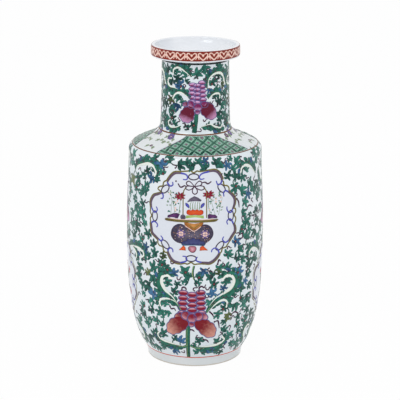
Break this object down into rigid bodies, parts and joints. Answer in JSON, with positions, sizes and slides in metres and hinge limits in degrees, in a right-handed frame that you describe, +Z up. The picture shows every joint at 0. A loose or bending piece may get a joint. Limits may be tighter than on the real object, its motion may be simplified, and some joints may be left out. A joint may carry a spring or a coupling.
{
  "type": "porcelain vase",
  "caption": "Tall rouleau-form porcelain vase with a dished mouth, straight neck, rounded shoulder and turned foot, painted in green-palette overglaze enamels.",
  "frame": {"origin": "centre of the foot's rest face, on the ground", "axes": "+Z up along the vase's axis, -Y towards the front with the large lobed panel"},
  "size_m": [0.194, 0.1938, 0.45],
  "materials": {
    "glazed_porcelain": "clear glossy glaze over white body",
    "unglazed_porcelain": "turned, matt",
    "luting_slip": "smeared slip under glaze",
    "iron_red_enamel": "overglaze enamel, semi-gloss",
    "gold_brown_enamel": "overglaze enamel, semi-gloss",
    "ink_enamel": "overglaze enamel, glossy",
    "aubergine_enamel": "overglaze enamel, glossy",
    "green_enamel": "overglaze enamel, glossy, raised",
    "blue_enamel": "overglaze enamel, glossy, raised",
    "ruby_enamel": "overglaze enamel, glossy, raised",
    "cream_enamel": "overglaze enamel, glossy, raised"
  },
  "bodies": {
    "root": {"foot_ring": "unglazed_porcelain", "base_disc": "glazed_porcelain", "base_luting": "luting_slip", "foot_luting": "luting_slip", "lower_body": "glazed_porcelain", "waist_luting": "luting_slip", "upper_body": "glazed_porcelain", "shoulder_luting": "luting_slip", "shoulder": "glazed_porcelain", "neck_luting": "luting_slip", "neck": "glazed_porcelain", "mouth_luting": "luting_slip", "mouth_rim": "glazed_porcelain", "rim_band": "iron_red_enamel", "neck_top_line": "ink_enamel", "neck_base_line": "gold_brown_enamel", "shoulder_line": "gold_brown_enamel", "foot_line": "iron_red_enamel", "front_medallion_frame": "aubergine_enamel", "back_medallion_frame": "aubergine_enamel", "right_panel_frame": "aubergine_enamel", "left_panel_frame": "aubergine_enamel"}
  },
  "joints": []
}
